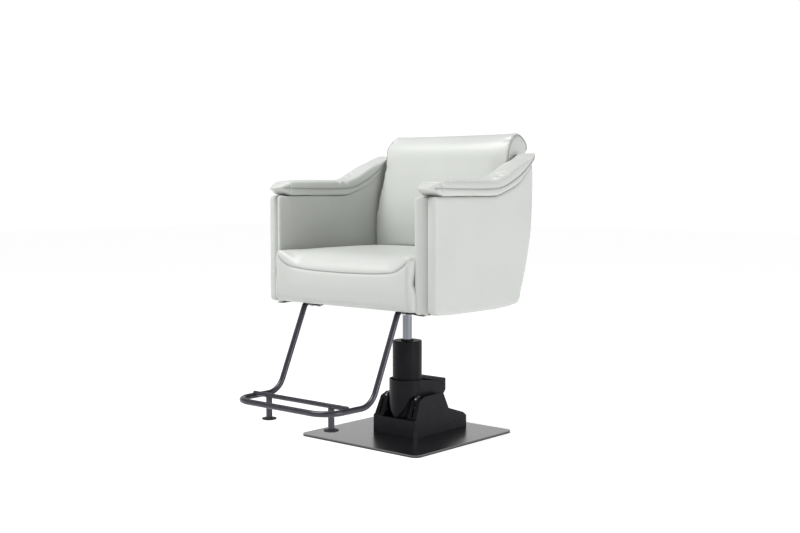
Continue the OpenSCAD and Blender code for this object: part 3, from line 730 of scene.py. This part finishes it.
padSeams = []
rightParts = {"Shell": makeShell(), "Liner": makeLiner(), "Pad": makePad()}
print("right arm")
rules = {
    "Shell": ("arm_shell", "shell_leather", 0.5),
    "Liner": ("arm_liner", "shell_leather", 0.5),
    "Pad": ("armrest_pad", "seat_leather", 0.7),
}
for part, (stem, slotName, fill) in rules.items():
    rightPiece = rightParts[part]
    leftPiece = mirroredCopy(rightPiece, rightPiece.name.replace("Right", "Left"))
    for piece, sideName in ((rightPiece, "_right"), (leftPiece, "_left")):
        settle(piece, "seat", [stem + sideName], looks[slotName])
for piece in padSeams:
    other = mirroredCopy(piece, piece.name + "Left")
    settle(other, "seat", [], seamShadeCord)
    welts.append(other)
    welts.append(piece)
for side in (-1, 1):
    upright = evenPath([(side * 0.2848, -0.2478, 0.402), (side * 0.2848, -0.2485, 0.50),
                        (side * 0.2848, -0.2485, 0.65), (side * 0.2846, -0.2480, 0.706)], 0.006)
    welts.append(cordAlong("frontSeam" + str(side), upright, 0.0010, "seat", seamShadeCord))
allWelts = joined("seamCords", welts)
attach(allWelts, "seat")
print("arms and armrest pads")


# Back shell

def makeBackShell():
    obj = softenedCopy("back_shell", "backShell", 0.006, 5)
    points, normals = readPoints(obj), readNormals(obj)
    outwards = normals[:, 1] > 0.5
    points = swell(points, normals, 0.010, 0, 2, -0.284, 0.284, 0.38, 0.86, outwards)
    # its middle reaches up under the roll
    points[:, 2] += 0.020 * ramp(points[:, 2], 0.780, 0.812) * ramp(-np.abs(points[:, 0]), -0.243, -0.238)
    writePoints(obj, points)
    finishSkin(obj)
    return obj


shell = settle(makeBackShell(), "seat", ["back_shell"], looks["shell_leather"])
print("back shell")


# Dust lining under the seat

lining = {"halfWidth": 0.279, "front": -0.262, "rear": 0.100, "height": 0.4082, "edgeDrop": 0.0125}


def makeLining():
    # A cloth stapled under the board, drooping to the arms' lower edges and open round the seat plate
    bpy.ops.mesh.primitive_grid_add(x_subdivisions=56, y_subdivisions=36, size=2, location=(0, 0, 0))
    obj = bpy.context.object
    obj.name = "dustLining"
    points = readPoints(obj)
    middle = 0.5 * (lining["front"] + lining["rear"])
    points[:, 0] *= lining["halfWidth"]
    points[:, 1] = middle + points[:, 1] * 0.5 * (lining["rear"] - lining["front"])
    drop = lining["edgeDrop"] * ramp(np.abs(points[:, 0]), 0.200, 0.262)
    frontDrop = 0.0055 * ramp(-points[:, 1], 0.225, 0.262)
    points[:, 2] = lining["height"] - np.maximum(drop, frontDrop)
    points[:, 2] -= 0.0006 * np.sin(points[:, 0] * 60) * np.sin(points[:, 1] * 75)
    writePoints(obj, points)
    pick(obj)
    bpy.ops.object.mode_set(mode="EDIT")
    bpy.ops.mesh.select_mode(type="FACE")
    bpy.ops.mesh.select_all(action="DESELECT")
    bpy.ops.object.mode_set(mode="OBJECT")
    for face in obj.data.polygons:
        face.select = abs(face.center[0]) < 0.100 and -0.115 < face.center[1] < 0.115
    bpy.ops.object.mode_set(mode="EDIT")
    bpy.ops.mesh.delete(type="FACE")
    bpy.ops.object.mode_set(mode="OBJECT")
    applyModifier(obj, "SOLIDIFY", thickness=0.0012, offset=0.0)
    pick(obj)
    bpy.ops.object.shade_smooth_by_angle(angle=math.radians(40))
    return settle(obj, "seat", ["dust_cover"], looks["lining_black"])


makeLining()
print("lining")


# The plunger's spring, copied at its rest length with a mesh of its own; the real one shortens as the pedal
# goes down

spring = settle(copyOfNode("plunger_spring", "plungerSpring"), "base", ["plunger_spring"],
                looks["spring_steel"])
pick(spring)
bpy.ops.object.shade_smooth_by_angle(angle=math.radians(50))
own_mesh(spring)
print("spring")


# Hard parts: merged copies with their edges rounded

def tidyFaces(obj, angle=1.0):
    pick(obj)
    bpy.ops.object.mode_set(mode="EDIT")
    bpy.ops.mesh.select_all(action="SELECT")
    bpy.ops.mesh.dissolve_limited(angle_limit=math.radians(angle))
    bpy.ops.object.mode_set(mode="OBJECT")


def roundBroadEdges(obj, width, smallestArea, segments=4):
    # Bevels the outward edges between two broad faces
    pick(obj)
    bpy.ops.object.mode_set(mode="EDIT")
    bpy.ops.mesh.select_mode(type="EDGE")
    bpy.ops.mesh.select_all(action="DESELECT")
    bpy.ops.object.mode_set(mode="OBJECT")
    mesh = obj.data
    sides = {}
    for face in mesh.polygons:
        for key in face.edge_keys:
            sides.setdefault(key, []).append(face)
    for edge in mesh.edges:
        pair = sides.get(edge.key, [])
        if len(pair) == 2 and min(f.area for f in pair) > smallestArea:
            first, second = pair
            turned = first.normal.angle(second.normal, 0) > math.radians(8)
            outward = (second.center - first.center).dot(first.normal) < 0
            edge.select = turned and outward
    bpy.ops.object.mode_set(mode="EDIT")
    bpy.ops.mesh.bevel(offset=width, segments=segments, profile=0.5, clamp_overlap=True)
    bpy.ops.object.mode_set(mode="OBJECT")


def crisp(obj, width, segments=2, smoothAngle=35):
    if width:
        applyModifier(obj, "BEVEL", width=width, segments=segments, limit_method="ANGLE",
                      angle_limit=math.radians(32), use_clamp_overlap=True)
    pick(obj)
    bpy.ops.object.shade_smooth_by_angle(angle=math.radians(smoothAngle))
    applyModifier(obj, "WEIGHTED_NORMAL", keep_sharp=True, weight=80)


def machined(nodeName, name, body, slotName, width, broad=0, smallestArea=0.0004):
    obj = copyOfNode(nodeName, name)
    tidyFaces(obj)
    if broad:
        roundBroadEdges(obj, broad, smallestArea)
    crisp(obj, width)
    return settle(obj, body, [nodeName], looks[slotName])


hardParts = [
    # node, name, body, slot, edge radius, broad edge radius
    ("base_plate", "basePlate", "base", "plate_black", 0.0012, 0),
    ("column_sleeve", "columnSleeve", "base", "sleeve_black", 0.0006, 0),
    ("wiper_ring", "wiperRing", "base", "seal_black", 0.0005, 0),
    ("lower_cover", "lowerCover", "base", "cover_black", 0.0007, 0.005),
    ("pump_pedal", "pumpPedal", "pedal", "pedal_black", 0.0008, 0),
    ("pedal_tread", "pedalTread", "pedal", "tread_black", 0.0006, 0),
    ("piston_rod", "pistonRod", "piston", "rod_chrome", 0.0005, 0),
    ("swivel_socket", "swivelSocket", "seat", "seat_steel", 0.0008, 0),
    ("seat_plate", "seatPlate", "seat", "seat_steel", 0.0006, 0),
    ("footrest_feet", "footrestFeet", "seat", "foot_rubber", 0.0012, 0),
    ("footrest_legs", "footrestLegs", "seat", "footrest_grey", 0, 0),
    ("footrest_crossbar", "footrestCrossbar", "seat", "footrest_grey", 0, 0),
    ("footrest_clamps", "footrestClamps", "seat", "seat_steel", 0.0006, 0),
]
for nodeName, name, body, slotName, width, broad in hardParts:
    machined(nodeName, name, body, slotName, width, broad)
plate = bpy.data.objects["basePlate"]
marks = plate.data.attributes.new("rim", "FLOAT", "POINT")
plateTop = readPoints(plate)[:, 2].max()
marks.data.foreach_set("value", (readPoints(plate)[:, 2] < plateTop - 0.0010).astype(np.float32))
tubes = copyOfNode("footrest_tube", "footrestTube")
crisp(tubes, 0, smoothAngle=50)
settle(tubes, "seat", ["footrest_tube"], looks["footrest_grey"])
print("hard parts:", len(hardParts) + 1)


# Floor, light and camera

studio = {
    "floorSize": 30.0,
    "floorTone": 0.36,
    "floorGlow": 0.86,
    "fallStart": 0.16,
    "fallEnd": 0.34,
    "airLow": 1.04,
    "airHigh": 0.30,
    "topPlace": (-0.7, -1.2, 2.9),
    "topSize": 1.8,
    "topPower": 92.0,
    "sidePlace": (2.7, 0.1, 0.8),
    "sideSize": 1.3,
    "sidePower": 27.0,
    "cameraPlace": (2.2109, -2.5839, 0.7392),
    "cameraTurn": (85.977, 0.0, 40.915),
    "lens": 51.97,
}


def makeFloor():
    bpy.ops.mesh.primitive_plane_add(size=studio["floorSize"], location=(0, 0, -0.0005))
    floor = bpy.context.object
    floor.name = "studioFloor"
    material, _, shader = shaderOf("studioWhite")
    shader.inputs["Base Color"].default_value = (*[studio["floorTone"]] * 3, 1)
    shader.inputs["Roughness"].default_value = 0.9
    shader.inputs["Specular IOR Level"].default_value = 0.0
    shader.inputs["Emission Color"].default_value = (1, 1, 1, 1)
    shader.inputs["Emission Strength"].default_value = studio["floorGlow"]
    floor.data.materials.append(material)


def makeSoftbox(name, place, aim, size, power):
    light = bpy.data.lights.new(name, "AREA")
    light.shape = "SQUARE"
    light.size = size
    light.energy = power
    lamp = bpy.data.objects.new(name, light)
    scene.collection.objects.link(lamp)
    lamp.location = place
    lamp.rotation_euler = (Vector(aim) - Vector(place)).to_track_quat("-Z", "Y").to_euler()


def makeCamera():
    lens = bpy.data.cameras.new("camera")
    lens.lens = studio["lens"]
    lens.sensor_width = 36
    camera = bpy.data.objects.new("camera", lens)
    scene.collection.objects.link(camera)
    camera.location = studio["cameraPlace"]
    camera.rotation_euler = [math.radians(t) for t in studio["cameraTurn"]]
    scene.camera = camera


world = bpy.data.worlds.new("studioAir")
world.use_nodes = True
air = world.node_tree
direction = addNode(air, "ShaderNodeTexCoord")
split = addNode(air, "ShaderNodeSeparateXYZ")
air.links.new(direction.outputs["Generated"], split.inputs["Vector"])
fall = addNode(air, "ShaderNodeMapRange")
fall.inputs["From Min"].default_value = studio["fallStart"]
fall.inputs["From Max"].default_value = studio["fallEnd"]
fall.inputs["To Min"].default_value = studio["airLow"]
fall.inputs["To Max"].default_value = studio["airHigh"]
air.links.new(split.outputs["Z"], fall.inputs["Value"])
air.links.new(fall.outputs["Result"], air.nodes["Background"].inputs["Strength"])
air.nodes["Background"].inputs["Color"].default_value = (1, 1, 1, 1)
scene.world = world
makeFloor()
makeSoftbox("topSoftbox", studio["topPlace"], (0, 0, 0.55), studio["topSize"], studio["topPower"])
makeSoftbox("sideSoftbox", studio["sidePlace"], (0, 0, 0.55), studio["sideSize"], studio["sidePower"])
makeCamera()
scene.view_settings.view_transform = "Standard"
print("studio set")
